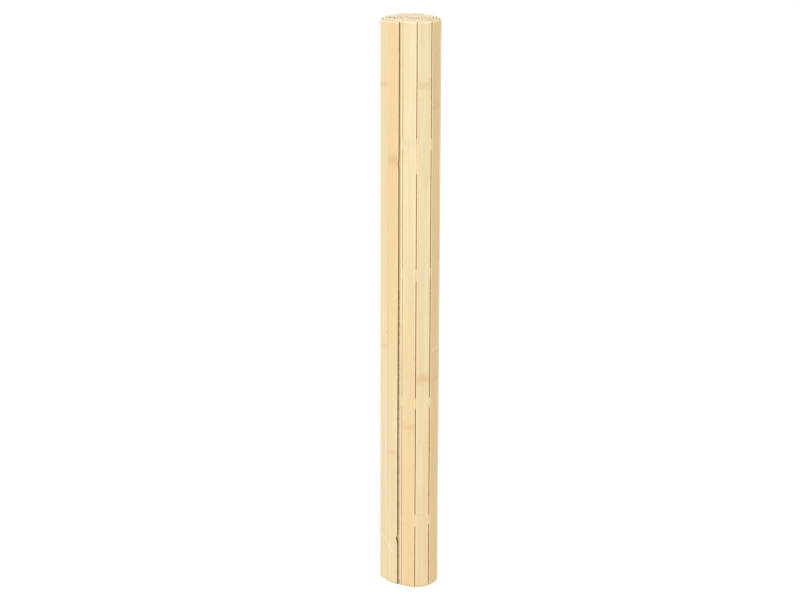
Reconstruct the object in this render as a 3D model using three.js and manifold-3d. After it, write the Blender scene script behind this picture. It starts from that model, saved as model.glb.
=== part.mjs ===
// A rug of bamboo slats held by four backing tapes, rolled up with its slats outside and stood on end.
// Millimetres, +Z up. The slats stand upright. The origin is on the floor, under the middle of the roll.
// The front of the roll, where the rug's outer end lies on it, faces -Y.
import * as THREE from 'three';
import { mergeVertices } from 'three/addons/utils/BufferGeometryUtils.js';
import Module from 'manifold-3d';

const wasm = await Module();
wasm.setup();

const degree = Math.PI / 180;

// A slat's real size, with a small bevel along both edges of its outer face.
const slatLength = 800;
const slatWidth = 19.1;
const slatThickness = 2;
const slatBevel = 0.35;

// The open joint between two slats, measured at their backs, where the tapes bend.
const jointWidth = 0.6;
const slatPitch = slatWidth + jointWidth;

// The woven tapes glued across the backs of the slats, and the heights of their middles.
const tapeWidth = 18;
const tapeThickness = 0.3;
const tapeGlueDepth = 0.2;
const tapeEndInset = 2;
const tapeHeights = [100, 272, 455, 635];

// The winding, seen from above. It is wound out anticlockwise, and the outer end lies at the front left.
// Hand rolling leaves it a little out of round: each bulge is a share of the radius, and it is
// repeated so many times in a turn, the first time at its angle.
const slatCount = 55;
const outerRadius = 40.17;
const outerAngle = 240 * degree;
const bulges = [
  { share: 0.0469, times: 2, angle: -43.1 * degree },
  { share: 0.0674, times: 3, angle: -66.9 * degree },
  { share: 0.0113, times: 4, angle: -1.7 * degree },
];
const layerClearance = 0.1;

// How far each slat of the outer turn stops short of the longest at the top, and of the floor.
// The first row is the rug's outermost slat. The slats further in follow a slow wave instead.
const outerTurn = [
  { topDrop: 1.6, footLift: 1.1 },
  { topDrop: 2.0, footLift: 2.3 },
  { topDrop: 1.9, footLift: 1.2 },
  { topDrop: 1.2, footLift: 0.4 },
  { topDrop: 0, footLift: 0 },
  { topDrop: 0, footLift: 0.2 },
  { topDrop: 1.1, footLift: 0 },
  { topDrop: 1.9, footLift: 0.3 },
  { topDrop: 1.2, footLift: 0.6 },
  { topDrop: 0.4, footLift: 1.1 },
  { topDrop: 0.1, footLift: 0 },
  { topDrop: 0.4, footLift: 0 },
  { topDrop: 0.9, footLift: 0.2 },
];
const innerWave = { drop: 0.7, dropSwing: 0.5, lift: 0.25, step: 1.9 };

// The mean radius lost in one whole turn inward: the layer itself, and the rise of a flat slat over
// the corners of the layer beneath it.
function layerGrowth(radius) {
  const rise = radius - Math.sqrt(radius * radius - (slatPitch * slatPitch) / 4);
  return slatThickness + tapeThickness + layerClearance + rise;
}

// A point of the winding, where its radius would be meanRadius if the roll were round.
function onWinding(angle, meanRadius) {
  const share = bulges.reduce(
    (sum, bulge) => sum + bulge.share * Math.cos(bulge.times * (angle - bulge.angle)),
    1,
  );
  const radius = meanRadius * share;
  return new THREE.Vector2(radius * Math.cos(angle), radius * Math.sin(angle));
}

// The turn inward that carries a joint one slat along the spiral, found by halving.
function turnOfSlat(angle, meanRadius) {
  const start = onWinding(angle, meanRadius);
  const growth = layerGrowth(meanRadius) / (2 * Math.PI);
  let least = 0;
  let most = 2.4;
  for (let step = 0; step < 40; step++) {
    const turn = (least + most) / 2;
    const reach = onWinding(angle - turn, meanRadius - growth * turn).distanceTo(start);
    if (reach < slatPitch) least = turn;
    else most = turn;
  }
  return least;
}

// The joints at the backs of the slats, from the outer end of the rug inward.
function windJoints() {
  let angle = outerAngle;
  let meanRadius = outerRadius;
  const joints = [onWinding(angle, meanRadius)];
  for (let i = 0; i < slatCount; i++) {
    const turn = turnOfSlat(angle, meanRadius);
    meanRadius -= (layerGrowth(meanRadius) * turn) / (2 * Math.PI);
    angle -= turn;
    joints.push(onWinding(angle, meanRadius));
  }
  return joints;
}

// A slat's own directions in plan: along the rug towards its inner end, and out from the roll.
function slatAxes(joints, i) {
  const along = joints[i + 1].clone().sub(joints[i]).normalize();
  return { along, out: new THREE.Vector2(-along.y, along.x) };
}

function place(origin, axes, alongBy, outBy) {
  return origin.clone().addScaledVector(axes.along, alongBy).addScaledVector(axes.out, outBy);
}

// The outer face's corners and bevels and the back of one slat, as an outline in plan.
function slatOutline(joints, i) {
  const axes = slatAxes(joints, i);
  const middle = joints[i].clone().add(joints[i + 1]).multiplyScalar(0.5);
  const half = slatWidth / 2;
  const corners = [
    [-half, 0],
    [half, 0],
    [half, slatThickness - slatBevel],
    [half - slatBevel, slatThickness],
    [slatBevel - half, slatThickness],
    [-half, slatThickness - slatBevel],
  ];
  return corners.map(([alongBy, outBy]) => place(middle, axes, alongBy, outBy));
}

// One tape's outline in plan: out along the backs of the slats, and home again at its own thickness.
function tapeOutline(joints) {
  const last = joints.length - 1;
  const sides = joints.map((joint, i) => {
    const before = slatAxes(joints, Math.max(0, i - 1));
    const after = slatAxes(joints, Math.min(last - 1, i));
    const halfTurn = Math.acos(THREE.MathUtils.clamp(before.out.dot(after.out), -1, 1)) / 2;
    const mitre = before.out.clone().add(after.out).normalize().divideScalar(Math.cos(halfTurn));
    const inset = i === 0 ? tapeEndInset : i === last ? -tapeEndInset : 0;
    const at = joint.clone().addScaledVector(after.along, inset);
    return {
      glued: at.clone().addScaledVector(mitre, tapeGlueDepth),
      free: at.clone().addScaledVector(mitre, -tapeThickness),
    };
  });
  return [...sides.map((side) => side.glued), ...sides.reverse().map((side) => side.free)];
}

function upright(outline, foot, top) {
  const geometry = new THREE.ExtrudeGeometry(new THREE.Shape(outline), {
    depth: top - foot,
    bevelEnabled: false,
  });
  return geometry.translate(0, 0, foot);
}

function toSolid(geometry) {
  geometry.deleteAttribute('normal');
  geometry.deleteAttribute('uv');
  const merged = mergeVertices(geometry, 1e-4);
  return new wasm.Manifold(
    new wasm.Mesh({
      numProp: 3,
      vertProperties: new Float32Array(merged.attributes.position.array),
      triVerts: new Uint32Array(merged.index.array),
    }),
  );
}

function toGeometry(solid) {
  const { vertProperties, triVerts } = solid.getMesh();
  const geometry = new THREE.BufferGeometry();
  geometry.setAttribute('position', new THREE.BufferAttribute(new Float32Array(vertProperties), 3));
  geometry.setIndex(new THREE.BufferAttribute(new Uint32Array(triVerts), 1));
  geometry.computeVertexNormals();
  return geometry;
}

function slatEnds(i) {
  if (i < outerTurn.length) return outerTurn[i];
  const wave = Math.sin(i * innerWave.step);
  return {
    topDrop: innerWave.drop + innerWave.dropSwing * wave,
    footLift: innerWave.lift * (1 - wave),
  };
}

function makeSlat(joints, i) {
  const { topDrop, footLift } = slatEnds(i);
  return toSolid(upright(slatOutline(joints, i), footLift, slatLength - topDrop));
}

function makeTape(joints, height) {
  return toSolid(upright(tapeOutline(joints), height - tapeWidth / 2, height + tapeWidth / 2));
}

// Moves a geometry so that the middle of its box stands over the origin.
function centreOverOrigin(geometry) {
  geometry.computeBoundingBox();
  const middle = geometry.boundingBox.getCenter(new THREE.Vector3());
  return geometry.translate(-middle.x, -middle.y, -geometry.boundingBox.min.z);
}

function makeRoll() {
  const joints = windJoints();
  const slats = Array.from({ length: slatCount }, (_, i) => makeSlat(joints, i));
  const tapes = tapeHeights.map((height) => makeTape(joints, height));
  const roll = [...slats, ...tapes].reduce((whole, piece) => whole.add(piece));
  return centreOverOrigin(toGeometry(roll));
}

const bamboo = new THREE.MeshStandardMaterial({ color: 0xecd3a1, roughness: 0.5, metalness: 0 });

const slatRoll = new THREE.Mesh(makeRoll(), bamboo);
slatRoll.name = 'slat_roll';

const rolledRug = new THREE.Group();
rolledRug.name = 'rolled_bamboo_rug';
rolledRug.add(slatRoll);

export default rolledRug;
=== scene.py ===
"""A rug of bamboo slats, rolled up and stood on end: its finish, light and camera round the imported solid.

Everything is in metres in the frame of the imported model: +Z up, the front -Y, the floor at z = 0 and
the roll's middle over the origin. The slats and the tapes follow the same winding as the solid.
"""

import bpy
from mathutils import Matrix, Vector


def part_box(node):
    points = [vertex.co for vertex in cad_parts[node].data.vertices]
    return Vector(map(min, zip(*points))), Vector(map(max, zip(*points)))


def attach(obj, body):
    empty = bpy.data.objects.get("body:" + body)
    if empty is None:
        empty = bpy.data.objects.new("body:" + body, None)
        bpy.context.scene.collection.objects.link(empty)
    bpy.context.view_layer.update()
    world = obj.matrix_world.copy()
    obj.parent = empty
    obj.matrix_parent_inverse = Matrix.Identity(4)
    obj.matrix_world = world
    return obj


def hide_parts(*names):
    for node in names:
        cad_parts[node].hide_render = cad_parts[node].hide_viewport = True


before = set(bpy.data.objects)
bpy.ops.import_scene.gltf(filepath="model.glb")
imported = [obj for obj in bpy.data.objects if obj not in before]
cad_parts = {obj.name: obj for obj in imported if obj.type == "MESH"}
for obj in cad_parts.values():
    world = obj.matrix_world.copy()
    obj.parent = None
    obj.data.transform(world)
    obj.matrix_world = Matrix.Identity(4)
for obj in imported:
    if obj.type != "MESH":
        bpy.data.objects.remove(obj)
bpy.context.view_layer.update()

import logging
import math
import random
from collections.abc import Callable
from dataclasses import dataclass, field
from enum import Enum
from typing import Any

import bpy
from bpy.types import Material, Mesh, Node, NodeSocket, NodeTree, Object
from mathutils import Matrix, Vector

LOG = logging.getLogger("bamboo_rug")
BODY = "root"
MM = 0.001
RINGS = ("low_ring", "high_ring")
Colour = tuple[float, float, float, float]


class Slot(Enum):
    """The record's material slots."""

    BAMBOO = "bamboo"
    TAPE = "tape"


class Mark(Enum):
    """The kinds of mark on the outer faces: scratches, spots, and painted shadows."""

    SCRATCH = "scratch"
    SPOT = "spot"
    PAINTED_SHADOW = "stain"


# The winding, seen from above


@dataclass(frozen=True)
class Bulge:
    """One way in which the roll is out of round: a share of the radius, so many times in a turn."""

    share: float
    times: int
    angle: float


@dataclass(frozen=True)
class SlatEnds:
    """How far a slat stops short of the longest at the top, and of the floor."""

    top_drop: float
    foot_lift: float


@dataclass(frozen=True)
class SlatPlace:
    """Where one slat stands: the middle of its back, its directions in plan, and its foot and length."""

    index: int
    middle: Vector
    along: Vector
    out: Vector
    foot: float
    length: float


@dataclass
class Winding:
    """The rug's winding from its outer end inward.

    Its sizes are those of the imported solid, apart from the inner slats' tops. They are more level, as
    the smooth top of the roll shows: 0.4 mm down with a swing of 0.2 mm, for the solid's 0.7 and 0.5.
    """

    slat_length: float = 800 * MM
    slat_width: float = 19.1 * MM
    slat_thickness: float = 2 * MM
    slat_bevel: float = 0.35 * MM
    joint_width: float = 0.6 * MM
    tape_thickness: float = 0.3 * MM
    layer_clearance: float = 0.1 * MM
    slat_count: int = 55
    outer_radius: float = 40.17 * MM
    outer_angle: float = math.radians(240)
    bulges: tuple[Bulge, ...] = (
        Bulge(share=0.0469, times=2, angle=math.radians(-43.1)),
        Bulge(share=0.0674, times=3, angle=math.radians(-66.9)),
        Bulge(share=0.0113, times=4, angle=math.radians(-1.7)),
    )
    outer_ends: tuple[SlatEnds, ...] = tuple(
        SlatEnds(drop * MM, lift * MM)
        for drop, lift in (
            (1.6, 1.1), (2.0, 2.3), (1.9, 1.2), (1.2, 0.4), (0.0, 0.0), (0.0, 0.2), (1.1, 0.0),
            (1.9, 0.3), (1.2, 0.6), (0.4, 1.1), (0.1, 0.0), (0.4, 0.0), (0.9, 0.2),
        )
    )
    inner_drop: float = 0.4 * MM
    inner_drop_swing: float = 0.2 * MM
    inner_lift: float = 0.25 * MM
    inner_wave_step: float = 1.9
    halvings: int = 40
    widest_turn: float = 2.4
    joints: list[Vector] = field(init=False)
    slats: list[SlatPlace] = field(init=False)

    def __post_init__(self) -> None:
        """Winds the joints and places the slats, with the plan's middle over the origin."""
        self.joints = self._wind()
        middle = self._plan_middle()
        self.joints = [joint - middle for joint in self.joints]
        self.slats = [self._place(i) for i in range(self.slat_count)]

    @property
    def pitch(self) -> float:
        """The width of a slat and its joint."""
        return self.slat_width + self.joint_width

    def _growth(self, radius: float) -> float:
        """Gives the mean radius lost in one whole turn inward.

        Args:
            radius: the mean radius there.

        Returns:
            The layer's thickness and the rise of a flat slat over the corners beneath it.
        """
        rise = radius - math.sqrt(radius**2 - self.pitch**2 / 4)
        return self.slat_thickness + self.tape_thickness + self.layer_clearance + rise

    def _point(self, angle: float, mean_radius: float) -> Vector:
        """Gives a point of the winding.

        Args:
            angle: the direction from the middle, from +X towards +Y.
            mean_radius: the radius there, were the roll round.

        Returns:
            The point in plan.
        """
        share = 1 + sum(b.share * math.cos(b.times * (angle - b.angle)) for b in self.bulges)
        return mean_radius * share * Vector((math.cos(angle), math.sin(angle)))

    def _turn(self, angle: float, mean_radius: float) -> float:
        """Finds by halving the turn inward that carries a joint one slat along.

        Args:
            angle: the joint's direction.
            mean_radius: the mean radius at the joint.

        Returns:
            The turn in radians.
        """
        start = self._point(angle, mean_radius)
        growth = self._growth(mean_radius) / math.tau
        least, most = 0.0, self.widest_turn
        for _ in range(self.halvings):
            turn = (least + most) / 2
            reach = (self._point(angle - turn, mean_radius - growth * turn) - start).length
            if reach < self.pitch:
                least = turn
            else:
                most = turn
        return least

    def _wind(self) -> list[Vector]:
        """Winds the rug up.

        Returns:
            The joints at the backs of the slats, from the outer end inward.
        """
        angle, mean_radius = self.outer_angle, self.outer_radius
        joints = [self._point(angle, mean_radius)]
        for _ in range(self.slat_count):
            turn = self._turn(angle, mean_radius)
            mean_radius -= self._growth(mean_radius) * turn / math.tau
            angle -= turn
            joints.append(self._point(angle, mean_radius))
        return joints

    def _axes(self, i: int) -> tuple[Vector, Vector]:
        """Gives slat i's directions: along the rug towards its inner end, and out of the roll."""
        along = (self.joints[i + 1] - self.joints[i]).normalized()
        return along, Vector((-along.y, along.x))

    def _plan_middle(self) -> Vector:
        """Finds the middle of the roll in plan.

        Returns:
            The middle of the box round every slat's outline.
        """
        half, top, bevel = self.slat_width / 2, self.slat_thickness, self.slat_bevel
        spots = [(half, 0), (half, top - bevel), (half - bevel, top)]
        corners = []
        for i in range(self.slat_count):
            along, out = self._axes(i)
            middle = (self.joints[i] + self.joints[i + 1]) / 2
            corners += [middle + side * a * along + b * out for side in (-1, 1) for a, b in spots]
        xs, ys = [c.x for c in corners], [c.y for c in corners]
        return Vector(((min(xs) + max(xs)) / 2, (min(ys) + max(ys)) / 2))

    def _place(self, i: int) -> SlatPlace:
        """Places one slat.

        Args:
            i: the slat's index from the rug's outer end.

        Returns:
            Its place, foot and length.
        """
        along, out = self._axes(i)
        middle = (self.joints[i] + self.joints[i + 1]) / 2
        if i < len(self.outer_ends):
            ends = self.outer_ends[i]
        else:
            wave = math.sin(i * self.inner_wave_step)
            drop = self.inner_drop + self.inner_drop_swing * wave
            ends = SlatEnds(drop, self.inner_lift * (1 - wave))
        length = self.slat_length - ends.top_drop - ends.foot_lift
        return SlatPlace(i, middle, along, out, ends.foot_lift, length)


# Helpers for node trees and meshes


def math_step(operation: str, swapped: bool = False) -> Callable[[Any, Any], Any]:
    """Makes an operator of Value.

    Args:
        operation: the Math node's operation.
        swapped: whether the value is the second operand.

    Returns:
        The operator.
    """

    def step(value: "Value", other: Any) -> "Value":
        """Adds the Math node and gives its result."""
        return value.sketch.math(operation, *((other, value) if swapped else (value, other)))

    return step


class Value:
    """An output of a node that takes arithmetic: each step adds a Math node to the same tree."""

    def __init__(self, sketch: "Sketch", socket: NodeSocket) -> None:
        """Notes the sketch that adds the steps, and the output."""
        self.sketch = sketch
        self.socket = socket

    __add__ = math_step("ADD")
    __radd__ = math_step("ADD", swapped=True)
    __sub__ = math_step("SUBTRACT")
    __rsub__ = math_step("SUBTRACT", swapped=True)
    __mul__ = math_step("MULTIPLY")
    __truediv__ = math_step("DIVIDE")
    __rtruediv__ = math_step("DIVIDE", swapped=True)
    __gt__ = math_step("GREATER_THAN")
    __lt__ = math_step("LESS_THAN")

    def __abs__(self) -> "Value":
        """Gives the value without its sign."""
        return self.sketch.math("ABSOLUTE", self)

    def clamped(self) -> "Value":
        """Keeps the result of the last step between 0 and 1."""
        self.socket.node.use_clamp = True
        return self


class Sketch:
    """Adds and links the nodes of one geometry or shader tree in few words."""

    def __init__(self, tree: NodeTree) -> None:
        """Takes the tree that the nodes go to."""
        self.tree = tree

    def put(self, socket: NodeSocket, value: Any) -> None:
        """Links a Value to an input socket, or sets the socket itself to anything plain.

        Args:
            socket: the input socket.
            value: the Value, or the plain setting.
        """
        if isinstance(value, Value):
            self.tree.links.new(value.socket, socket)
        else:
            socket.default_value = value

    @staticmethod
    def _socket(sockets: Any, key: int | str) -> NodeSocket:
        """Finds a socket of a node.

        Args:
            sockets: the node's inputs or outputs.
            key: the socket's index, or a name, which hidden sockets of the node may share.

        Returns:
            The socket, and for a name the shown one.
        """
        if isinstance(key, int):
            return sockets[key]
        return next(s for s in sockets if s.name == key and s.enabled)

    def node(self, kind: str, inputs: dict[Any, Any] | None = None, **settings: Any) -> Node:
        """Adds a node.

        Args:
            kind: the node's Blender type.
            inputs: a Value or anything plain for each input, by name or index.
            **settings: the node's own properties.

        Returns:
            The node.
        """
        node = self.tree.nodes.new(kind)
        for name, value in settings.items():
            setattr(node, name, value)
        for key, value in (inputs or {}).items():
            self.put(self._socket(node.inputs, key), value)
        return node

    def out(self, kind: str, inputs: dict[Any, Any] | None = None, result: Any = 0, **settings: Any) -> Value:
        """Adds a node and gives one of its outputs, the first unless named."""
        return Value(self, self._socket(self.node(kind, inputs, **settings).outputs, result))

    def outs(self, kind: str, inputs: dict[Any, Any] | None = None, **settings: Any) -> dict[str, Value]:
        """Adds a node and gives its outputs by name."""
        return {o.name: Value(self, o) for o in self.node(kind, inputs, **settings).outputs}

    def math(self, operation: str, *values: Any) -> Value:
        """Gives the result of a Math node on up to three values."""
        return self.out("ShaderNodeMath", dict(enumerate(values)), operation=operation)

    def scaled(self, vector: Value, factor: Value) -> Value:
        """Gives a vector times a number."""
        return self.out("ShaderNodeVectorMath", {0: vector, "Scale": factor}, operation="SCALE")

    def split(self, vector: Value) -> tuple[Value, ...]:
        """Gives the three parts of a vector."""
        return tuple(self.outs("ShaderNodeSeparateXYZ", {0: vector}).values())

    def join(self, x: Any = 0.0, y: Any = 0.0, z: Any = 0.0) -> Value:
        """Gives a vector of three parts."""
        return self.out("ShaderNodeCombineXYZ", {0: x, 1: y, 2: z})

    def ramp(self, value: Any, start: float, end: float, low: float = 0.0, high: float = 1.0) -> Value:
        """Gives low where value is at start and high where it is at end, with a smooth way between."""
        inputs = {"Value": value, "From Min": start, "From Max": end, "To Min": low, "To Max": high}
        return self.out("ShaderNodeMapRange", inputs, interpolation_type="SMOOTHSTEP")

    def noise(self, vector: Value, scale: float = 1.0, detail: float = 2.0, rough: float = 0.5) -> Value:
        """Gives a noise value about a half."""
        inputs = {"Vector": vector, "Scale": scale, "Detail": detail, "Roughness": rough}
        return self.out("ShaderNodeTexNoise", inputs)

    def cells(self, vector: Value) -> Value:
        """Gives the distance to the nearest of points strewn one to a unit."""
        return self.out("ShaderNodeTexVoronoi", {"Vector": vector, "Scale": 1.0})

    def bell(self, distance: Value, width: Any) -> Value:
        """Gives 1 where distance is 0, falling off smoothly over width to either side."""
        ratio = distance / width
        return self.math("EXPONENT", ratio * ratio * -1.0)

    def tint(self, share: Value, base: Any, over: Any) -> Value:
        """Gives base with that share of over mixed in, as a colour."""
        return self.out("ShaderNodeMix", {0: share, 6: base, 7: over}, 2, data_type="RGBA")


class MaterialSketch(Sketch):
    """A new material and the sketch of its tree."""

    def __init__(self, name: str) -> None:
        """Makes the material.

        Args:
            name: the material's name.
        """
        self.material = bpy.data.materials.new(name)
        self.material.use_nodes = True
        super().__init__(self.material.node_tree)

    def carried(self, name: str) -> Value:
        """Gives a vector that the mesh carries."""
        return self.out("ShaderNodeAttribute", result="Vector", attribute_name=name)

    def bump(self, distance: float, height: Value) -> Value:
        """Gives the normals of a face that stands out by that distance where height is 1."""
        return self.out("ShaderNodeBump", {"Strength": 1.0, "Distance": distance, "Height": height})

    def finished(self, **values: Any) -> Material:
        """Dresses the material.

        Args:
            **values: a Value or anything plain for each input of the shader, its name with _ for a space.

        Returns:
            The material.
        """
        shader = self.tree.nodes["Principled BSDF"]
        for name, value in values.items():
            self.put(shader.inputs[name.replace("_", " ")], value)
        return self.material


class GeometrySketch(Sketch):
    """A new geometry tree that works on points, and its sketch."""

    def __init__(self, name: str, kinds: dict[str, str]) -> None:
        """Makes the tree.

        Args:
            name: the tree's name.
            kinds: a socket type for each input's name, beside the points.
        """
        super().__init__(bpy.data.node_groups.new(name, "GeometryNodeTree"))
        kinds = {"Points": "NodeSocketGeometry"} | kinds
        self.names = add_sockets(self.tree, "INPUT", {key: (kind, None) for key, kind in kinds.items()})
        add_sockets(self.tree, "OUTPUT", {"Geometry": ("NodeSocketGeometry", None)})
        self.given = self.outs("NodeGroupInput")

    def named(self, name: str, kind: str = "FLOAT_VECTOR") -> Value:
        """Gives an attribute that the points carry."""
        return self.out("GeometryNodeInputNamedAttribute", {"Name": name}, data_type=kind)

    def on(self, geometry: Value, kind: str, **inputs: Any) -> Value:
        """Gives a geometry as a node of that kind leaves it."""
        return self.out("GeometryNode" + kind, {"Geometry": geometry} | inputs)

    def noted(self, geometry: Value, name: str, value: Value, **settings: str) -> Value:
        """Gives a geometry with a value stored on it under that name."""
        inputs = {"Geometry": geometry, "Name": name, "Value": value}
        return self.out("GeometryNodeStoreNamedAttribute", inputs, **settings)

    def planted(self, piece: Value, **inputs: Value) -> Value:
        """Sets a copy of a piece on each point, turned as the point says, and makes the copies real.

        Args:
            piece: the piece's geometry.
            **inputs: more inputs of the Instance on Points node.

        Returns:
            The copies' geometry.
        """
        euler = self.join(z=self.named("turn", "FLOAT"))
        rotation = self.out("FunctionNodeEulerToRotation", {"Euler": euler})
        inputs = {"Points": self.given["Points"], "Instance": piece, "Rotation": rotation} | inputs
        return self.on(self.out("GeometryNodeInstanceOnPoints", inputs), "RealizeInstances")


def linear(red: int, green: int, blue: int) -> Colour:
    """Turns a colour as seen on a screen into Blender's own.

    Args:
        red: the red part, 0 to 255.
        green: the green part.
        blue: the blue part.

    Returns:
        The linear RGBA.
    """
    parts = [c / 255 for c in (red, green, blue)]
    parts = [c / 12.92 if c <= 0.04045 else ((c + 0.055) / 1.055) ** 2.4 for c in parts]
    return (*parts, 1.0)


def add_sockets(tree: NodeTree, side: str, sockets: dict[str, tuple[str, Any]]) -> dict[str, str]:
    """Gives a node tree named inputs or outputs.

    Args:
        tree: the tree.
        side: "INPUT" or "OUTPUT".
        sockets: a socket type and default for each name, or None where it has no default.

    Returns:
        Each socket's identifier by its name.
    """
    identifiers = {}
    for name, (kind, default) in sockets.items():
        socket = tree.interface.new_socket(name=name, in_out=side, socket_type=kind)
        if default is not None:
            socket.default_value = default
        identifiers[name] = socket.identifier
    return identifiers


def placed(name: str, data: Any) -> Object:
    """Makes an object and puts it in the scene.

    Args:
        name: the object's name.
        data: its mesh, light or camera.

    Returns:
        The object.
    """
    made = bpy.data.objects.new(name, data)
    bpy.context.scene.collection.objects.link(made)
    return made


def points_mesh(name: str, points: list[Any], values: dict[str, list[Any]]) -> Mesh:
    """Makes a mesh of loose points that carry values.

    Args:
        name: the mesh's name.
        points: the points.
        values: a list of numbers or vectors for each attribute's name, one for each point.

    Returns:
        The mesh.
    """
    mesh = bpy.data.meshes.new(name)
    mesh.from_pydata(points, [], [])
    for key, rows in values.items():
        if isinstance(rows[0], float):
            made = mesh.attributes.new(key, "FLOAT", "POINT")
            made.data.foreach_set("value", rows)
        else:
            made = mesh.attributes.new(key, "FLOAT_VECTOR", "POINT")
            made.data.foreach_set("vector", [part for row in rows for part in row])
    return mesh


def grown(name: str, points: Mesh, s: GeometrySketch, inputs: dict[str, Any]) -> Object:
    """Runs a geometry tree on a mesh of points and keeps the result as a plain mesh.

    Args:
        name: the piece's name.
        points: the mesh that the tree starts from.
        s: the tree's sketch.
        inputs: the values of the tree's inputs, by name.

    Returns:
        The piece, at the origin and with no modifier.
    """
    piece = placed(name, points)
    modifier = piece.modifiers.new(name, "NODES")
    modifier.node_group = s.tree
    for key, value in inputs.items():
        modifier[s.names[key]] = value
    depsgraph = bpy.context.evaluated_depsgraph_get()
    mesh = bpy.data.meshes.new_from_object(
        piece.evaluated_get(depsgraph), preserve_all_data_layers=True, depsgraph=depsgraph
    )
    piece.modifiers.clear()
    piece.data = mesh
    mesh.name = name
    bpy.data.meshes.remove(points)
    return piece


# The finishes


class ShaderGroups:
    """The effects that the bamboo uses more than once, each built once as a node group."""

    def __init__(self) -> None:
        """Builds the groups."""
        self.fibres = self._fibres()
        self.ring = self._ring()

    @staticmethod
    def _new(name: str, inputs: dict[str, tuple[str, Any]], outputs: tuple[str, ...]) -> tuple[Sketch, dict]:
        """Starts a group.

        Args:
            name: the group's name.
            inputs: its inputs beside Place and Seed, as add_sockets takes them.
            outputs: the names of its outputs, which are numbers.

        Returns:
            A sketch of the group, and its inputs as values by name.
        """
        tree = bpy.data.node_groups.new(name, "ShaderNodeTree")
        shared = {"Place": ("NodeSocketVector", None), "Seed": ("NodeSocketFloat", 0.0)}
        add_sockets(tree, "INPUT", shared | inputs)
        add_sockets(tree, "OUTPUT", {output: ("NodeSocketFloat", None) for output in outputs})
        s = Sketch(tree)
        return s, s.outs("NodeGroupInput")

    def _fibres(self) -> NodeTree:
        """Builds the grain of split bamboo, drawn out along the slat.

        Returns:
            A group with the inputs Place, Seed, Fibre Width and Stretch, and the outputs Streaks for
            broad soft stripes, Fibres for fine dark ones, and Height for a bump.
        """
        s, given = self._new(
            "bamboo_fibres",
            {"Fibre Width": ("NodeSocketFloat", 0.45 * MM), "Stretch": ("NodeSocketFloat", 70.0)},
            ("Streaks", "Fibres", "Height"),
        )
        x, y, z = s.split(given["Place"])
        seed_step = 7.31
        shift = given["Seed"] * seed_step

        def drawn_out(width: Value, stretch: Any, offset: float) -> Value:
            """Gives coordinates of one unit to a width across, and stretch widths along."""
            per = 1.0 / width
            return s.join(x * per + (shift + offset), y * per, z * per / stretch + shift)

        width = given["Fibre Width"]
        broad = s.noise(drawn_out(width * 8.0, stretch=55.0, offset=3.0), detail=3.0, rough=0.55)
        fine = s.noise(drawn_out(width, given["Stretch"], offset=11.0), detail=3.0, rough=0.62)
        dashes = s.noise(drawn_out(width * 0.6, stretch=26.0, offset=23.0), detail=1.0)
        dark = (s.ramp(fine, 0.5, 0.72) * 0.65 + s.ramp(dashes, 0.62, 0.74) * 0.35).clamped()
        s.node("NodeGroupOutput", {0: s.ramp(broad, 0.3, 0.7), 1: dark, 2: fine - dark * 0.5})
        return s.tree

    def _ring(self) -> NodeTree:
        """Builds the mark that a planed culm node leaves across a slat.

        Returns:
            A group with the inputs Place, Seed and Ring, whose parts are the height, the strength and
            the sag, and the outputs Glow for the soft band, Line for its dark core, and Height.
        """
        s, given = self._new("culm_ring", {"Ring": ("NodeSocketVector", None)}, ("Glow", "Line", "Height"))
        x, _, z = s.split(given["Place"])
        height, strength, sag = s.split(given["Ring"])
        seed = given["Seed"]
        half_slat, wave_height, ragged_height = 9.5 * MM, 3.2 * MM, 7.0 * MM
        glow_height, core_height = 6.8 * MM, 0.4 * MM
        wave_across, seed_step = 260.0, 3.7
        blotch_across, blotch_along = 420.0, 300.0
        speck_across, speck_along = 800.0, 420.0
        across = x / half_slat
        wave = (s.noise(s.join(x * wave_across, seed * seed_step)) - 0.5) * wave_height
        away = z - (height + across * across * sag + wave)
        blotch_place = s.join(x * blotch_across, seed, z * blotch_along)
        blotch = s.noise(blotch_place, detail=3.0, rough=0.6)
        ragged = away + (blotch - 0.5) * ragged_height
        tall = strength * glow_height
        glow = s.bell(ragged, tall) * s.ramp(blotch, 0.2, 0.65, 0.45, 1.0)
        glow = (glow * strength).clamped()
        core = s.bell(away, core_height) * s.ramp(blotch, 0.5, 0.62)
        specks = s.ramp(s.cells(s.join(x * speck_across, seed, z * speck_along)), 0.34, 0.14)
        specks = specks * s.bell(ragged, tall * 0.8)
        line = ((core * 0.5 + specks * 0.5) * strength).clamped()
        s.node("NodeGroupOutput", {0: glow, 1: line, 2: glow - line})
        return s.tree


@dataclass(frozen=True)
class MarkOrShadow:
    """A scratch, spot or painted shadow on one slat's face, between two points across and up the slat.

    Its points and its width are in millimetres.
    """

    kind: Mark
    slat: int
    start: tuple[float, float]
    end: tuple[float, float]
    width: float
    strength: float


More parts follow.
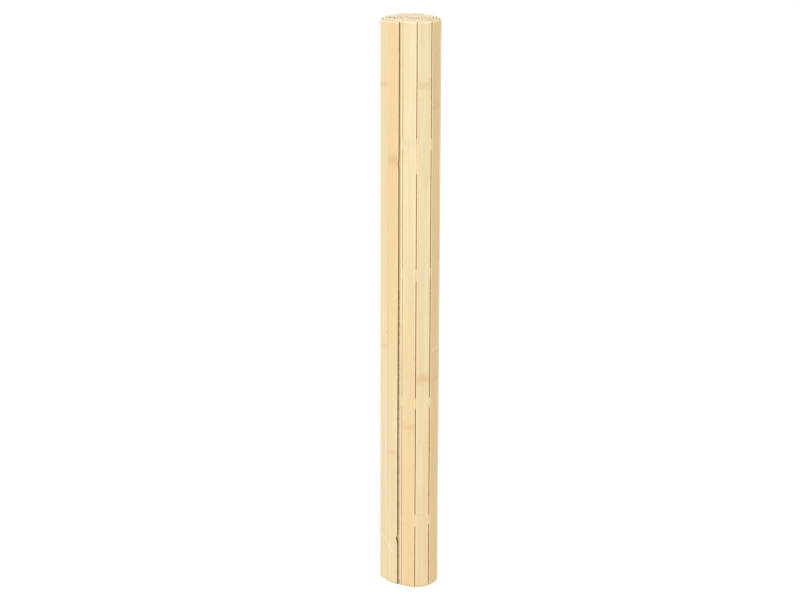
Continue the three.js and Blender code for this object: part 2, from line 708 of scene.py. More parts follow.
@dataclass(frozen=True)
class BambooFinish:
    """Pale split bamboo, planed and lacquered to a low satin."""

    pale: Colour = linear(238, 223, 179)
    straw: Colour = linear(223, 209, 172)
    honey: Colour = linear(222, 195, 145)
    amber: Colour = linear(213, 183, 128)
    streak: Colour = linear(213, 186, 137)
    fibre: Colour = linear(188, 156, 108)
    ring: Colour = linear(206, 162, 100)
    ring_line: Colour = linear(144, 106, 60)
    # pale_edge_and_highlight: a painted highlight along the rounded edges, and the outer slats' paler top few
    # millimetres.
    pale_edge_and_highlight: Colour = linear(238, 225, 194)
    side_wall: Colour = linear(226, 188, 120)
    # joint_shade: painted shade, the dark brown deep down the slats' sides in the joints.
    joint_shade: Colour = linear(152, 92, 22)
    # end_edge_brown_and_shade: the end slat's free edge in its own darker brown, with painted shade of the
    # gap beneath it.
    end_edge_brown_and_shade: Colour = linear(118, 68, 6)
    # painted_top_light: painted light near the inner slats' tops, where the middle of the roll is in shade.
    painted_top_light: Colour = linear(249, 236, 202)
    scuff: Colour = linear(246, 240, 220)
    # spot: the colour of the real spots, and also of a painted shadow at the foot of slat 12.
    spot: Colour = linear(126, 94, 54)
    # stain: the colour of the painted shadows on slat 12.
    stain: Colour = linear(146, 92, 22)
    # foot_shadow: a painted contact shadow along the foot of every slat.
    foot_shadow: Colour = linear(150, 128, 92)
    roughness: float = 0.46
    fibre_roughness: float = 0.16
    wall_roughness: float = 0.45
    bump: float = 0.06 * MM
    streak_share: float = 0.45
    fibre_share: float = 0.5
    glow_share: float = 0.5
    line_share: float = 0.6
    ring_height: float = 0.8
    highlight_share: float = 0.7
    foot_shadow_share: float = 0.45
    drift: float = 0.9
    drift_across: float = 60.0
    drift_along: float = 6.0
    # The size of the patches of painted shade in the joints.
    shade_patch_across: float = 50.0
    shade_patch_along: float = 260.0
    patch_scale: float = 330.0
    last_outer_slat: int = 12
    tone_heights: tuple[float, float] = (0.05, 0.72)
    highlight_span: tuple[float, float] = (8.6 * MM, 9.3 * MM)
    wall_span: tuple[float, float] = (9.35 * MM, 9.5 * MM)
    top_span: tuple[float, float] = (0.797, 0.799)
    top_light_span: tuple[float, float] = (0.790, 0.798)
    foot_span: tuple[float, float] = (1.8 * MM, 0.3 * MM)
    side_depths: tuple[float, float] = (1.8 * MM, 1.4 * MM)
    joint_shade_depths: tuple[float, float] = (1.3 * MM, 0.5 * MM)
    outer_depths: tuple[float, float] = (1.9 * MM, 1.6 * MM)
    marks_and_shadows: tuple[MarkOrShadow, ...] = (
        MarkOrShadow(Mark.SCRATCH, 1, (2.0, 65.0), (-9.5, 56.5), 0.8, 0.6),
        MarkOrShadow(Mark.SCRATCH, 0, (9.5, 57.0), (1.0, 48.0), 1.0, 0.6),
        MarkOrShadow(Mark.SCRATCH, 9, (5.5, 344.8), (-9.0, 347.8), 0.45, 0.85),
        MarkOrShadow(Mark.SPOT, 1, (-8.4, 366.0), (-8.4, 369.0), 0.5, 0.7),
        # Painted shadow at the foot of slat 12, beside the end slat's free edge.
        MarkOrShadow(Mark.SPOT, 12, (-7.3, 1.5), (-7.1, 7.0), 0.7, 0.8),
        # Painted shadow on slat 12 under the end slat's free edge.
        MarkOrShadow(Mark.PAINTED_SHADOW, 12, (-4.7, 0.0), (-5.3, 430.0), 0.6, 0.7),
        # Painted shadow on slat 12 beneath the chip in the end slat's edge.
        MarkOrShadow(Mark.PAINTED_SHADOW, 12, (-3.4, 70.0), (-3.9, 63.0), 1.3, 0.9),
        MarkOrShadow(Mark.SPOT, 10, (6.2, 107.5), (6.4, 107.9), 0.5, 0.6),
        MarkOrShadow(Mark.SPOT, 10, (4.4, 109.5), (4.6, 109.7), 0.35, 0.5),
        MarkOrShadow(Mark.SPOT, 10, (1.8, 108.0), (2.0, 108.2), 0.6, 0.7),
    )

    def material(self, groups: ShaderGroups) -> Material:
        """Builds the material of the slats' faces, edges and backs.

        Args:
            groups: the shared shader groups.

        Returns:
            The material. It reads the attributes grain, tone, low_ring and high_ring.
        """
        s = MaterialSketch("bamboo_face")
        grain = s.carried("grain")
        place = s.split(grain)
        x, _, z = place
        tone_foot, tone_top, seed = s.split(s.carried("tone"))
        fibres = s.outs("ShaderNodeGroup", {"Place": grain, "Seed": seed}, node_tree=groups.fibres)
        drift_place = s.join(x * self.drift_across, seed, z * self.drift_along)
        drift = (s.noise(drift_place) - 0.5) * self.drift
        tone = tone_foot + (tone_top - tone_foot) * s.ramp(z, *self.tone_heights) + drift
        layers = [
            (s.ramp(tone, 0.0, 1.0), self.honey),
            (s.ramp(tone, 0.0, -1.0), self.pale),
            (s.ramp(tone, 1.0, 2.0), self.amber),
            (fibres["Streaks"] * self.streak_share, self.streak),
            (fibres["Fibres"] * self.fibre_share, self.fibre),
        ]
        height = fibres["Height"]
        for name in RINGS:
            inputs = {"Place": grain, "Ring": s.carried(name), "Seed": seed}
            ring = s.outs("ShaderNodeGroup", inputs, node_tree=groups.ring)
            layers.append((ring["Glow"] * self.glow_share, self.ring))
            layers.append((ring["Line"] * self.line_share, self.ring_line))
            height = height + ring["Height"] * self.ring_height
        wall = s.ramp(abs(x), *self.wall_span)
        layers += self._edges(s, place, wall, seed)
        layers += self._marks_and_shadows(s, x, z, seed)
        colour: Any = self.straw
        for share, over in layers:
            colour = s.tint(share, colour, over)
        rough = fibres["Fibres"] * self.fibre_roughness + self.roughness + wall * self.wall_roughness
        normal = s.bump(self.bump, height)
        return s.finished(Base_Color=colour, Roughness=rough.clamped(), Normal=normal)

    def _edges(self, s: Sketch, place: tuple[Value, ...], wall: Value, seed: Value) -> list[tuple]:
        """Makes the rounded edges paler with a painted highlight, the outer slats' tops paler, the sides of
        the slats browner inward with painted shade deep in the joints, and the rug's edge dark with its own
        brown and painted shade; paints light near the inner slats' tops and a contact shadow at every foot.

        Args:
            s: the material's sketch.
            place: the place across the slat, through it from its back, and up it.
            wall: 1 on the slat's sides.
            seed: the slat's index, as the tone attribute holds it.

        Returns:
            The share of each colour that lies over those before it.
        """
        x, y, z = place
        is_inner = seed > self.last_outer_slat + 0.5
        is_end_slat = seed < 0.5
        # Patches that break up the painted shade in the joints.
        joint_shade_patches = s.noise(s.join(seed, x * self.shade_patch_across, z * self.shade_patch_along), detail=3.0, rough=0.65)
        joint_shade_patches = s.ramp(joint_shade_patches, 0.42, 0.62, 1.0, 0.35)
        near_wall = s.ramp(x * -1.0, *self.wall_span)
        return [
            # Painted highlight along the rounded edges.
            (s.ramp(abs(x), *self.highlight_span) * self.highlight_share, self.pale_edge_and_highlight),
            # The outer slats paler in their top few millimetres, at half strength.
            (s.ramp(z, *self.top_span) * s.ramp(is_inner, 0.0, 1.0, 0.5, 0.0), self.pale_edge_and_highlight),
            # Painted contact shadow along the foot of every slat.
            (s.ramp(z, *self.foot_span, 0.0, self.foot_shadow_share), self.foot_shadow),
            (wall * s.ramp(y, *self.side_depths), self.side_wall),
            # Painted shade deep down the slats' sides, in the joints.
            (wall * s.ramp(y, *self.joint_shade_depths) * joint_shade_patches, self.joint_shade),
            # The end slat's free edge: its own darker brown, and painted shade of the gap beneath it.
            (near_wall * is_end_slat * s.ramp(y, *self.outer_depths), self.end_edge_brown_and_shade),
            # Painted light near the inner slats' tops.
            (s.ramp(z, *self.top_light_span) * is_inner, self.painted_top_light),
        ]

    def _marks_and_shadows(self, s: Sketch, x: Value, z: Value, seed: Value) -> list[tuple]:
        """Draws the scratches and spots, and the painted shadows.

        Args:
            s: the material's sketch.
            x: the place across the slat.
            z: the place up the slat.
            seed: the slat's index, as the tone attribute holds it.

        Returns:
            The share of each one's colour.
        """
        colours = {Mark.SCRATCH: self.scuff, Mark.SPOT: self.spot, Mark.PAINTED_SHADOW: self.stain}
        patchy = s.ramp(s.noise(s.join(x, z, seed), scale=self.patch_scale), 0.38, 0.58, 0.15, 1.0)
        layers = []
        for mark_or_shadow in self.marks_and_shadows:
            start = Vector(mark_or_shadow.start) * MM
            run = Vector(mark_or_shadow.end) * MM - start
            from_x, from_z = x - start.x, z - start.y
            share = ((from_x * run.x + from_z * run.y) / run.length_squared).clamped()
            off_x, off_z = from_x - share * run.x, from_z - share * run.y
            far = s.math("SQRT", off_x * off_x + off_z * off_z)
            here = s.math("COMPARE", seed, float(mark_or_shadow.slat), 0.5)
            mask = s.bell(far, mark_or_shadow.width * MM) * here * patchy
            layers.append((mask * mark_or_shadow.strength, colours[mark_or_shadow.kind]))
        return layers


@dataclass(frozen=True)
class EndGrainFinish:
    """The sawn ends of the slats, with the dark dots of the cut fibre bundles."""

    wood: Colour = linear(248, 234, 201)
    dot: Colour = linear(206, 170, 114)
    dot_share: float = 0.55
    dot_spacing: float = 0.5 * MM
    dot_sizes: tuple[float, float] = (0.18, 0.36)
    saw_across: float = 300.0
    saw_through: float = 3000.0
    seed_step: float = 5.3
    roughness: float = 0.72
    bump: float = 0.05 * MM

    def material(self) -> Material:
        """Builds the material of the sawn ends.

        Returns:
            The material. It reads the attributes grain and tone.
        """
        s = MaterialSketch("bamboo_end")
        _, _, seed = s.split(s.carried("tone"))
        x, y, _ = s.split(s.carried("grain"))
        per = 1 / self.dot_spacing
        size = s.ramp(y, 0.2 * MM, 2 * MM, *self.dot_sizes)
        cells = s.cells(s.join(x * per, y * per, seed * self.seed_step))
        dots = s.ramp(size - cells, -0.04, 0.06)
        colour = s.tint(dots * self.dot_share, self.wood, self.dot)
        saw = s.noise(s.join(x * self.saw_across, y * self.saw_through, seed))
        normal = s.bump(self.bump, saw - dots)
        return s.finished(Base_Color=colour, Roughness=self.roughness, Normal=normal)


@dataclass(frozen=True)
class TapeFinish:
    """Flat woven tape of undyed yarn, stiff with dried glue."""

    yarn: Colour = linear(232, 214, 172)
    # hollow_shade: painted shade in the hollows of the weave.
    hollow_shade: Colour = linear(178, 148, 100)
    thread: float = 0.5 * MM
    fuzz: float = 0.4
    fuzz_scale: float = 6000.0
    roughness: float = 0.82
    sheen: float = 0.15
    bump: float = 0.12 * MM

    def material(self) -> Material:
        """Builds the woven tape's material.

        Returns:
            The material, a plain weave on the piece's own UV map in metres.
        """
        s = MaterialSketch("woven_tape")
        u, v, _ = s.split(s.out("ShaderNodeUVMap", uv_map="weave"))
        step = math.pi / self.thread
        warp, weft = s.math("SINE", u * step), s.math("SINE", v * step)
        over = warp * weft > 0.0
        fuzz = s.noise(s.join(u, v), scale=self.fuzz_scale)
        height = abs(warp) * over + abs(weft) * (1.0 - over) + fuzz * self.fuzz
        # The weave darker where its height is low: painted shade in the hollows.
        colour = s.tint(s.ramp(height, 0.1, 0.9), self.hollow_shade, self.yarn)
        normal = s.bump(self.bump, height)
        return s.finished(
            Base_Color=colour, Roughness=self.roughness, Sheen_Weight=self.sheen, Normal=normal
        )


@dataclass(frozen=True)
class GlueFinish:
    """Dried glue with fibre fluff and bamboo dust in it, pressed up into the joints over the tapes."""

    clear: Colour = linear(238, 216, 166)
    dusty: Colour = linear(214, 184, 128)
    lump_scale: float = 900.0
    roughness: float = 0.5
    bump: float = 0.1 * MM

    def material(self) -> Material:
        """Builds the glue's material.

        Returns:
            The material. It reads Object coordinates.
        """
        s = MaterialSketch("dried_glue")
        lumps = s.noise(s.out("ShaderNodeTexCoord", result="Object"), scale=self.lump_scale, detail=3.0)
        colour = s.tint(s.ramp(lumps, 0.35, 0.7), self.clear, self.dusty)
        normal = s.bump(self.bump, lumps)
        return s.finished(Base_Color=colour, Roughness=self.roughness, Normal=normal)


# The slats


@dataclass(frozen=True)
class Ring:
    """The mark of a culm node across a slat: its height, its strength, and the sag of its ends."""

    height: float
    strength: float
    sag: float = 1.5 * MM


@dataclass(frozen=True)
class SlatLook:
    """A slat's own tone at its foot and at its top, and its two culm rings.

    The tone runs from -1 for the palest, past 0 for straw and 1 for honey, to 2 for amber.
    """

    tone_foot: float
    tone_top: float
    low: Ring
    high: Ring


@dataclass(frozen=True)
class EdgeReach:
    """How far a slat's edges reach past its nominal width, at its foot and at its top.

    The near edge, the one towards the rug's outer end, may reach further again about a quarter up.
    """

    near_foot: float = 0.0
    near_top: float = 0.0
    far_foot: float = 0.0
    far_top: float = 0.0
    near_low: float = 0.0


@dataclass(frozen=True)
class Chip:
    """A bite out of a slat's edge: the side is -1 towards the rug's outer end."""

    slat: int
    side: int
    height: float
    depth: float
    above: float
    below: float


@dataclass
class SlatSheet:
    """The rug's slats, wound up: the outer turn in fine steps, and the turns inside it in coarse ones."""

    winding: Winding
    face: Material
    end: Material
    edge_radius: float = 0.5 * MM
    back_radius: float = 0.12 * MM
    crown: float = 0.08 * MM
    ring_rise: float = 0.12 * MM
    ring_width: float = 3.2 * MM
    wander: float = 0.18 * MM
    wander_length: float = 45 * MM
    bow: float = 0.25 * MM
    bow_length: float = 260 * MM
    across_points: int = 9
    finest_step: float = 1.2 * MM
    fine_step: float = 2.6 * MM
    coarse_step: float = 20 * MM
    reach_span: tuple[float, float] = (0.25, 0.9)
    low_height: float = 0.25
    low_width: float = 0.2
    sharp_angle: float = math.radians(50)
    chip_reach: float = 2.2
    ring_gap: tuple[float, float] = (0.36, 0.42)
    ring_high: tuple[float, float] = (0.56, 0.72)
    ring_strengths: tuple[float, float] = (0.4, 0.9)
    ring_sags_mm: tuple[float, float] = (-1.5, 1.5)
    tones: tuple[float, float] = (0.1, 0.9)
    seed: int = 4
    looks: dict[int, SlatLook] = field(
        default_factory=lambda: {
            0: SlatLook(0.4, 0.95, Ring(0.195, 0.5), Ring(0.6125, 1.1, -1.0 * MM)),
            1: SlatLook(0.4, 0.4, Ring(0.347, 0.5), Ring(0.713, 0.6)),
            9: SlatLook(1.9, 1.8, Ring(0.303, 0.8), Ring(0.685, 0.6)),
            10: SlatLook(0.5, 0.1, Ring(0.3075, 1.1, -1.2 * MM), Ring(0.716, 0.8)),
            11: SlatLook(0.9, 0.15, Ring(0.237, 0.7), Ring(0.638, 0.4)),
            # Slat 12's pale tone, palest at its top, is painted light on the face that the end slat's step
            # shades.
            12: SlatLook(-0.1, -1.2, Ring(0.261, 0.4), Ring(0.64, 0.4)),
        }
    )
    reaches: dict[int, EdgeReach] = field(
        default_factory=lambda: {
            0: EdgeReach(-0.5 * MM, 0.15 * MM, 0.22 * MM, 0.22 * MM, near_low=-0.5 * MM),
            1: EdgeReach(near_foot=0.22 * MM, near_top=0.22 * MM),
            9: EdgeReach(far_foot=-0.15 * MM),
            10: EdgeReach(-0.1 * MM, 0.0, 0.15 * MM, 0.26 * MM),
            11: EdgeReach(0.18 * MM, 0.26 * MM, 0.26 * MM, 0.4 * MM),
            12: EdgeReach(near_foot=0.1 * MM, near_top=0.12 * MM),
        }
    )
    chips: tuple[Chip, ...] = (
        Chip(0, -1, 70.5 * MM, 2.6 * MM, 2.4 * MM, 9 * MM),
        Chip(0, -1, 608 * MM, 0.9 * MM, 7 * MM, 9 * MM),
    )

    def build(self) -> list[Object]:
        """Makes the three pieces of slats.

        Returns:
            The slat at the rug's outer end, the rest of the outer turn, and the turns inside it.
        """
        s = self._tree()
        slats, count = self.winding.slats, len(self.winding.outer_ends)
        parts = {
            "end_slat": (slats[:1], self.finest_step),
            "outer_slats": (slats[1:count], self.fine_step),
            "inner_slats": (slats[count:], self.coarse_step),
        }
        looks = self._all_looks()
        pieces = []
        for name, (chosen, step) in parts.items():
            inputs = self._inputs(round(self.winding.slat_length / step))
            piece = grown(name, self._points(name, chosen, looks), s, inputs)
            for chip in self.chips:
                self._cut(piece.data, chip)
            piece.data.set_sharp_from_angle(angle=self.sharp_angle)
            pieces.append(piece)
        return pieces

    def _all_looks(self) -> list[SlatLook]:
        """Gives every slat its look, with the unseen slats' drawn by chance from a fixed seed.

        Returns:
            The looks, from the rug's outer end inward.
        """
        chance = random.Random(self.seed)
        looks = []
        for i in range(self.winding.slat_count):
            high = chance.uniform(*self.ring_high)
            low = high - chance.uniform(*self.ring_gap)
            tones = chance.uniform(*self.tones), chance.uniform(*self.tones)
            marks = []
            for height in (low, high):
                strength = chance.uniform(*self.ring_strengths)
                marks.append(Ring(height, strength, chance.uniform(*self.ring_sags_mm) * MM))
            looks.append(self.looks.get(i, SlatLook(*tones, *marks)))
        return looks

    def _points(self, name: str, slats: list[SlatPlace], looks: list[SlatLook]) -> Mesh:
        """Makes the points that the slats grow from, each with what its slat needs to know.

        Args:
            name: the piece's name.
            slats: the piece's slats.
            looks: the looks of all the rug's slats.

        Returns:
            The mesh of points.
        """
        rows = [looks[slat.index] for slat in slats]
        reaches = [self.reaches.get(slat.index, EdgeReach()) for slat in slats]
        values = {
            "turn": [math.atan2(slat.along.y, slat.along.x) for slat in slats],
            "along": [(*slat.along, 0.0) for slat in slats],
            "out": [(*slat.out, 0.0) for slat in slats],
            "reach": [(slat.foot, slat.length, 0.0) for slat in slats],
            "foot_edges": [(reach.near_foot, reach.far_foot, 0.0) for reach in reaches],
            "top_edges": [(reach.near_top, reach.far_top, reach.near_low) for reach in reaches],
            "tone": [(row.tone_foot, row.tone_top, float(s.index)) for row, s in zip(rows, slats)],
        }
        for key, rings in zip(RINGS, ([row.low for row in rows], [row.high for row in rows])):
            values[key] = [(ring.height, ring.strength, ring.sag) for ring in rings]
        return points_mesh(name + "_points", [slat.middle.to_3d() for slat in slats], values)

    def _inputs(self, steps: int) -> dict[str, Any]:
        """Gathers the sizes and materials that the tree takes.

        Args:
            steps: the number of steps up a slat.

        Returns:
            The values of the tree's inputs by name.
        """
        return {
            "Slat Width": self.winding.slat_width,
            "Slat Thickness": self.winding.slat_thickness,
            "Slat Length": self.winding.slat_length,
            "Steps": steps + 1,
            "Edge Radius": self.edge_radius,
            "Back Radius": self.back_radius,
            "Crown": self.crown,
            "Ring Rise": self.ring_rise,
            "Ring Width": self.ring_width,
            "Wander": self.wander,
            "Wander Length": self.wander_length,
            "Bow": self.bow,
            "Bow Length": self.bow_length,
            "Face": self.face,
            "End": self.end,
        }

    def _tree(self) -> GeometrySketch:
        """Builds the tree that grows a slat on each point.

        Returns:
            The tree's sketch.
        """
        kinds = {name: "NodeSocketFloat" for name in self._inputs(1)}
        kinds |= {"Steps": "NodeSocketInt", "Face": "NodeSocketMaterial", "End": "NodeSocketMaterial"}
        s = GeometrySketch("slats_on_points", kinds)
        slats = s.planted(self._one_slat(s))
        slats = s.on(slats, "SetPosition", Offset=self._own_shape(s))
        slats = s.on(slats, "SetShadeSmooth")
        slats = s.on(slats, "SetMaterial", Material=s.given["Face"])
        is_sawn = s.named("sawn", "FLOAT") > 0.5
        slats = s.on(slats, "SetMaterial", Selection=is_sawn, Material=s.given["End"])
        s.node("NodeGroupOutput", {0: slats})
        return s

    def _one_slat(self, s: GeometrySketch) -> Value:
        """Shapes one slat of the nominal size, its back on y = 0, and notes each point's place on it.

        Args:
            s: the tree's sketch.

        Returns:
            The slat's geometry.
        """
        given = s.given
        flat_to, lead_to = 0.25, 0.5
        size = {"Size": (2.0, 1.0, 1.0), "Vertices Z": given["Steps"]}
        cube = s.out("GeometryNodeMeshCube", size | {"Vertices X": self.across_points, "Vertices Y": 2})
        normal_z = s.split(s.out("GeometryNodeInputNormal"))[2]
        slat = s.noted(cube, "sawn", abs(normal_z) > 0.5, domain="FACE", data_type="FLOAT")
        x, y, z = s.split(s.out("GeometryNodeInputPosition"))
        off = abs(x)
        half, radius = given["Slat Width"] * 0.5, given["Edge Radius"]
        flat = s.math("MINIMUM", off, flat_to) * (1 / flat_to) * (half - radius - radius)
        lead = ((off - flat_to) * (1 / (lead_to - flat_to))).clamped()
        angle = ((off - lead_to) * (1 / (1 - lead_to))).clamped() * (math.pi / 2)
        place_x = flat + lead * radius + s.math("SINE", angle) * radius
        drop = 1.0 - s.math("COSINE", angle)
        across = place_x / half
        crown = (1.0 - across * across) * given["Crown"]
        face = given["Slat Thickness"] - drop * radius + crown
        is_face = y > 0.0
        through = is_face * face + (1.0 - is_face) * (drop * given["Back Radius"])
        place = s.join(s.math("SIGN", x) * place_x, through, (z + 0.5) * given["Slat Length"])
        slat = s.on(slat, "SetPosition", Position=place)
        position = s.out("GeometryNodeInputPosition")
        return s.noted(slat, "grain", position, domain="POINT", data_type="FLOAT_VECTOR")

    def _own_shape(self, s: GeometrySketch) -> Value:
        """Makes every slat a little different: its length, its edges, its bow and its rings.

        Args:
            s: the tree's sketch.

        Returns:
            How far each point moves.
        """
        given = s.given
        x, y, z = s.split(s.named("grain"))
        _, _, index = s.split(s.named("tone"))
        foot, length, _ = s.split(s.named("reach"))
        near_foot, far_foot, _ = s.split(s.named("foot_edges"))
        near_top, far_top, near_low = s.split(s.named("top_edges"))
        share = z / given["Slat Length"]
        up = s.join(z=foot + share * length - z)
        across = x / (given["Slat Width"] * 0.5)
        side_step, wander_step, bow_step = 5.0, 11.3, 7.7
        wander_place = s.join(z / given["Wander Length"], s.math("SIGN", x) * side_step, index * wander_step)
        wander = s.noise(wander_place, detail=4.0, rough=0.6) * given["Wander"]
        high = s.ramp(share, *self.reach_span)
        far = far_foot + high * (far_top - far_foot)
        low = s.bell(share - self.low_height, self.low_width)
        near = near_foot + high * (near_top - near_foot) + near_low * low
        is_far = x > 0.0
        wider = is_far * far + (1.0 - is_far) * near - wander
        bow = s.noise(s.join(z / given["Bow Length"], index * bow_step, 3.0), detail=0.0)
        bow = (bow - 0.5) * given["Bow"]
        rise: Any = 0.0
        for name in RINGS:
            ring_height, strength, sag = s.split(s.named(name))
            middle = ring_height + across * across * sag
            rise = rise + s.bell(z - middle, given["Ring Width"]) * strength
        rise = rise * (y > given["Slat Thickness"] * 0.5) * given["Ring Rise"]
        moves = (s.scaled(s.named("along"), across * wider), s.scaled(s.named("out"), bow + rise))
        for move in moves:
            up = s.out("ShaderNodeVectorMath", {0: up, 1: move}, operation="ADD")
        return up

    def _cut(self, mesh: Mesh, chip: Chip) -> None:
        """Pushes in one slat's edge where a chip has broken out of it.

        Args:
            mesh: the piece's mesh, which is left as it is unless it holds that slat.
            chip: the chip.
        """
        inner = self.winding.slat_width / 2 - self.chip_reach * self.edge_radius
        along = self.winding.slats[chip.slat].along.to_3d()
        grain, tone = mesh.attributes["grain"].data, mesh.attributes["tone"].data
        for vertex in mesh.vertices:
            x, _, z = grain[vertex.index].vector
            if round(tone[vertex.index].vector[2]) != chip.slat or x * chip.side < inner:
                continue
            away = z - chip.height
            share = 1 - abs(away) / (chip.above if away > 0 else chip.below)
            if share > 0:
                vertex.co -= chip.side * along * chip.depth * share


# The tapes and the glue over them


@dataclass(frozen=True)
class GlueRun:
    """How the glue lies in one joint over one tape: its share of the usual depth, and where it runs."""

    joint: int
    tape: int
    depth_share: float = 1.0
    drop: float = 0.0
    extra: float = 0.0


@dataclass
class BackingTapes:
    """The four woven tapes glued across the backs of the slats, and the glue pressed into the joints."""

    winding: Winding
    cloth: Material
    glue: Material
    width: float = 18 * MM
    thickness: float = 0.3 * MM
    lift: float = 0.02 * MM
    end_inset: float = 2 * MM
    heights: tuple[float, ...] = (0.1, 0.272, 0.455, 0.635)
    bend_share: float = 0.06
    flat_shares: tuple[float, float] = (0.35, 0.65)
    columns: int = 6
    sharp_angle: float = math.radians(60)
    bead_depth: float = 1.45 * MM
    bead_overlap: float = 0.3 * MM
    bead_shifts_mm: tuple[float, float] = (-0.8, 0.8)
    bead_depths: tuple[float, float] = (0.85, 1.1)
    bead_lengths: tuple[float, float] = (0.86, 1.04)
    bead_lumps: float = 0.3 * MM
    lump_scale: float = 500.0
    bead_fullness: float = 0.45
    bead_sides: int = 12
    bead_rings: int = 14
    bead_seed: int = 9
    runs: tuple[GlueRun, ...] = (
        GlueRun(joint=10, tape=2, depth_share=0.35),
        GlueRun(joint=11, tape=2, depth_share=0.6),
        GlueRun(joint=11, tape=3, depth_share=0.9, drop=17 * MM, extra=34 * MM),
        GlueRun(joint=12, tape=0, depth_share=0.7),
    )

    @property
    def length(self) -> float:
        """The length that each tape is cut to."""
        return self.winding.pitch * self.winding.slat_count - 2 * self.end_inset

    def build(self) -> list[Object]:
        """Makes the tapes, from the lowest up."""
        line = self._line()
        return [self._tape(f"tape_{i + 1}", height, line) for i, height in enumerate(self.heights)]

    def _line(self) -> list[tuple[Vector, Vector, float]]:
        """Gives the tape's way in plan along the backs of the slats.

        Returns:
            A point, the direction out of the roll, and the length so far, for each step.
        """
        slats, joints, inset = self.winding.slats, self.winding.joints, self.end_inset
        pitch = self.winding.pitch
        rows = []
        for slat in slats:
            for share in (self.bend_share, *self.flat_shares, 1 - self.bend_share):
                spot = joints[slat.index] + slat.along * pitch * share
                rows.append((spot, slat.out, pitch * (slat.index + share)))
        first, last = slats[0], slats[-1]
        rows[0] = (joints[0] + first.along * inset, first.out, inset)
        rows[-1] = (joints[-1] - last.along * inset, last.out, pitch * len(slats) - inset)
        return rows

    def _tape(self, name: str, height: float, line: list[tuple[Vector, Vector, float]]) -> Object:
        """Makes one tape as a thin closed strip with its weave's UV map in metres.

        Args:
            name: the piece's name.
            height: the height of its middle.
            line: its way in plan.

        Returns:
            The piece.
        """
        points, maps, faces = [], [], []
        for depth in (self.lift, self.lift + self.thickness):
            for spot, out, run in line:
                for column in range(self.columns + 1):
                    v = (column / self.columns - 0.5) * self.width
                    points.append((*(spot - out * depth), height + v))
                    maps.append((run, v))
        across, rows = self.columns + 1, len(line)
        side = rows * across
        for row in range(rows - 1):
            for column in range(self.columns):
                a = row * across + column
                b, c, d = a + across, a + across + 1, a + 1
                faces += [(a, d, c, b), (a + side, b + side, c + side, d + side)]
            for column in (0, self.columns):
                a = row * across + column
                wall = (a, a + across, a + across + side, a + side)
                faces.append(wall if column == 0 else wall[::-1])
        for row in (0, rows - 1):
            for column in range(self.columns):
                a = row * across + column
                wall = (a, a + side, a + side + 1, a + 1)
                faces.append(wall if row == 0 else wall[::-1])
        mesh = bpy.data.meshes.new(name)
        mesh.from_pydata(points, [], faces)
        layer = mesh.uv_layers.new(name="weave")
        for loop in mesh.loops:
            layer.data[loop.index].uv = maps[loop.vertex_index]
        mesh.materials.append(self.cloth)
        mesh.shade_smooth()
        mesh.set_sharp_from_angle(angle=self.sharp_angle)
        return placed(name, mesh)

    def beads(self) -> Object:
        """Makes the glue that fills each joint where a tape crosses it.

        Returns:
            The piece.
        """
        chance = random.Random(self.bead_seed)
        runs = {(run.joint, run.tape): run for run in self.runs}
        slats = self.winding.slats
        points, values = [], {"turn": [], "size": []}
        for before, after in zip(slats, slats[1:]):
            out = (before.out + after.out).normalized()
            bend = before.out.angle(after.out)
            open_by = self.winding.joint_width + 2 * self.bead_depth * math.sin(bend / 2)
            joint = self.winding.joints[after.index]
            for tape, height in enumerate(self.heights):
                run = runs.get((after.index, tape), GlueRun(after.index, tape))
                points.append((*joint, height + chance.uniform(*self.bead_shifts_mm) * MM - run.drop))
                depth = self.bead_depth * chance.uniform(*self.bead_depths) * run.depth_share
                tall = self.width * chance.uniform(*self.bead_lengths) + run.extra
                values["turn"].append(math.atan2(out.y, out.x) - math.pi / 2)
                values["size"].append((open_by + self.bead_overlap, 2 * depth, tall))
        mesh = points_mesh("joint_points", points, values)
        inputs = {
            "Sides": self.bead_sides,
            "Rings": self.bead_rings,
            "Fullness": self.bead_fullness,
            "Lumps": self.bead_lumps,
            "Glue": self.glue,
        }
        return grown("joint_glue", mesh, self._bead_tree(), inputs)

    def _bead_tree(self) -> GeometrySketch:
        """Builds the tree that sets a bead of glue on each point.

        Returns:
            The tree's sketch.
        """
        whole, number = "NodeSocketInt", "NodeSocketFloat"
        kinds = {"Sides": whole, "Rings": whole, "Fullness": number, "Lumps": number}
        s = GeometrySketch("glue_in_joints", kinds | {"Glue": "NodeSocketMaterial"})
        ball = {"Segments": s.given["Sides"], "Rings": s.given["Rings"], "Radius": 0.5}
        bead = s.out("GeometryNodeMeshUVSphere", ball)
        x, y, z = s.split(s.out("GeometryNodeInputPosition"))
        fuller = s.math("SIGN", z) * s.math("POWER", abs(z) * 2.0, s.given["Fullness"])
        bead = s.on(bead, "SetPosition", Position=s.join(x, y, fuller * 0.5))
        beads = s.planted(bead, Scale=s.named("size"))
        lumps = s.noise(s.out("GeometryNodeInputPosition"), scale=self.lump_scale)
        offset = s.scaled(s.out("GeometryNodeInputNormal"), (lumps - 0.5) * s.given["Lumps"])
        beads = s.on(beads, "SetPosition", Offset=offset)
        beads = s.on(beads, "SetShadeSmooth")
        s.node("NodeGroupOutput", {0: s.on(beads, "SetMaterial", Material=s.given["Glue"])})
        return s


# The studio


@dataclass(frozen=True)
class Softbox:
    """A square light: where it stands, how large it is, and its power in watts."""

    name: str
    place: tuple[float, float, float]
    size: float
    power: float


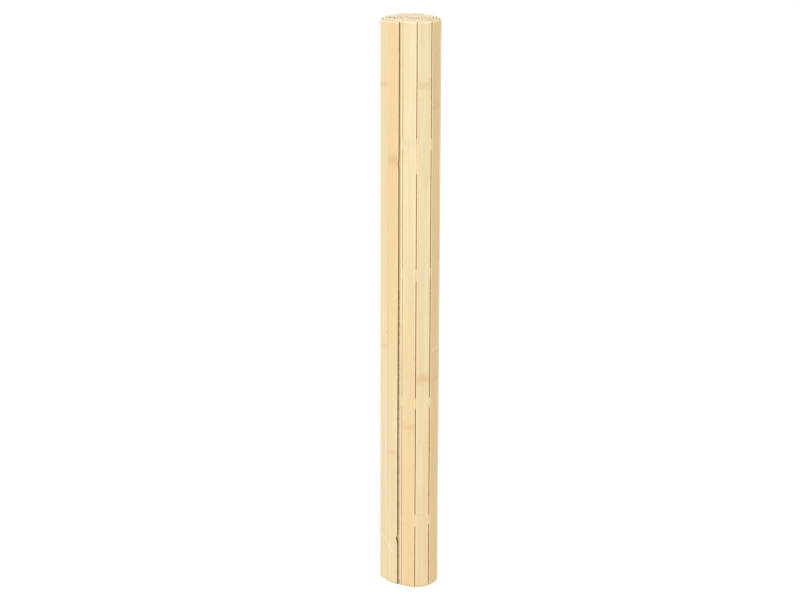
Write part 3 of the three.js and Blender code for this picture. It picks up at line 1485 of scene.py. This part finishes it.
@dataclass
class Studio:
    """A white room with soft light from the front left, and the photograph's camera."""

    sky: float = 0.92
    backdrop: float = 1.0
    floor_size: float = 12.0
    floor_glow: float = 1.0
    floor_roughness: float = 0.9
    floor_mottle: float = 3.0
    floor_tones: tuple[Colour, Colour] = (linear(196, 196, 195), linear(200, 200, 199))
    aim: tuple[float, float, float] = (0.0, 0.0, 0.45)
    key: Softbox = Softbox("key_light", (-1.3, -3.0, 2.3), 1.8, 42.0)
    camera_place: tuple[float, float, float] = (0.0141, -2.9932, 1.2461)
    camera_yaw: float = math.radians(-0.532)
    camera_pitch: float = math.radians(15.616)
    camera_roll: float = math.radians(0.162)
    lens: float = 101.48
    sensor: float = 36.0

    def build(self) -> None:
        """Sets the scene's world, floor, light and camera."""
        bpy.context.scene.view_settings.view_transform = "Standard"
        world = bpy.data.worlds.new("white_room")
        world.use_nodes = True
        background = world.node_tree.nodes["Background"]
        background.inputs["Color"].default_value = (1.0, 1.0, 1.0, 1.0)
        s = Sketch(world.node_tree)
        seen = s.out("ShaderNodeLightPath", result="Is Camera Ray")
        levels = {"Value": seen, "To Min": self.sky, "To Max": self.backdrop}
        s.put(background.inputs["Strength"], s.out("ShaderNodeMapRange", levels))
        bpy.context.scene.world = world
        self._floor()
        self._light(self.key)
        self._camera()

    def _floor(self) -> None:
        """Lays the pale floor."""
        half = self.floor_size / 2
        corners = [(-half, -half, 0), (half, -half, 0), (half, half, 0), (-half, half, 0)]
        mesh = bpy.data.meshes.new("floor")
        mesh.from_pydata(corners, [], [(0, 1, 2, 3)])
        s = MaterialSketch("pale_floor")
        soft = s.noise(s.out("ShaderNodeTexCoord", result="Object"), scale=self.floor_mottle)
        tone = s.tint(soft, *self.floor_tones)
        glow = {"Emission_Color": tone, "Emission_Strength": self.floor_glow}
        plain = {"Roughness": self.floor_roughness, "Specular_IOR_Level": 0.0}
        mesh.materials.append(s.finished(Base_Color=tone, **plain, **glow))
        placed("floor", mesh)

    def _light(self, light: Softbox) -> None:
        """Hangs one softbox and turns it to the roll.

        Args:
            light: the softbox.
        """
        data = bpy.data.lights.new(light.name, "AREA")
        data.shape = "SQUARE"
        data.size = light.size
        data.energy = light.power
        lamp = placed(light.name, data)
        lamp.location = light.place
        lamp.rotation_euler = (Vector(self.aim) - lamp.location).to_track_quat("-Z", "Y").to_euler()

    def _camera(self) -> None:
        """Sets the camera at the photograph's place and angle."""
        yaw, pitch, roll = self.camera_yaw, self.camera_pitch, self.camera_roll
        ahead = Vector((math.sin(yaw) * math.cos(pitch), math.cos(yaw) * math.cos(pitch), -math.sin(pitch)))
        level = Vector((math.cos(yaw), -math.sin(yaw), 0.0))
        plumb = level.cross(ahead)
        right = math.cos(roll) * level + math.sin(roll) * plumb
        up = math.cos(roll) * plumb - math.sin(roll) * level
        data = bpy.data.cameras.new("camera")
        data.sensor_fit = "HORIZONTAL"
        data.sensor_width = self.sensor
        data.lens = self.lens
        camera = placed("camera", data)
        turn = Matrix((right, up, -ahead)).transposed().to_4x4()
        camera.matrix_world = Matrix.Translation(self.camera_place) @ turn
        bpy.context.scene.camera = camera


def report(piece: Object) -> None:
    """Logs a piece's name and its number of triangles."""
    piece.data.calc_loop_triangles()
    LOG.info("%s: %d triangles", piece.name, len(piece.data.loop_triangles))


def main() -> None:
    """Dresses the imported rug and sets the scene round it."""
    logging.basicConfig(level=logging.INFO, format="%(name)s: %(message)s")
    Studio().build()
    winding = Winding()
    low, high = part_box("slat_roll")
    LOG.info("packed roll: %s", [round((b - a) / MM, 2) for a, b in zip(low, high)])

    slats = SlatSheet(winding, BambooFinish().material(ShaderGroups()), EndGrainFinish().material())
    slat_pieces = slats.build()
    for piece in slat_pieces:
        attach(piece, BODY)
        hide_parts("slat_roll")
        report(piece)

    tapes = BackingTapes(winding, TapeFinish().material(), GlueFinish().material())
    for piece in tapes.build():
        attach(piece, BODY)
        tapes.length
        report(piece)
    glue = tapes.beads()
    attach(glue, BODY)
    report(glue)


if __name__ == "__main__":
    main()
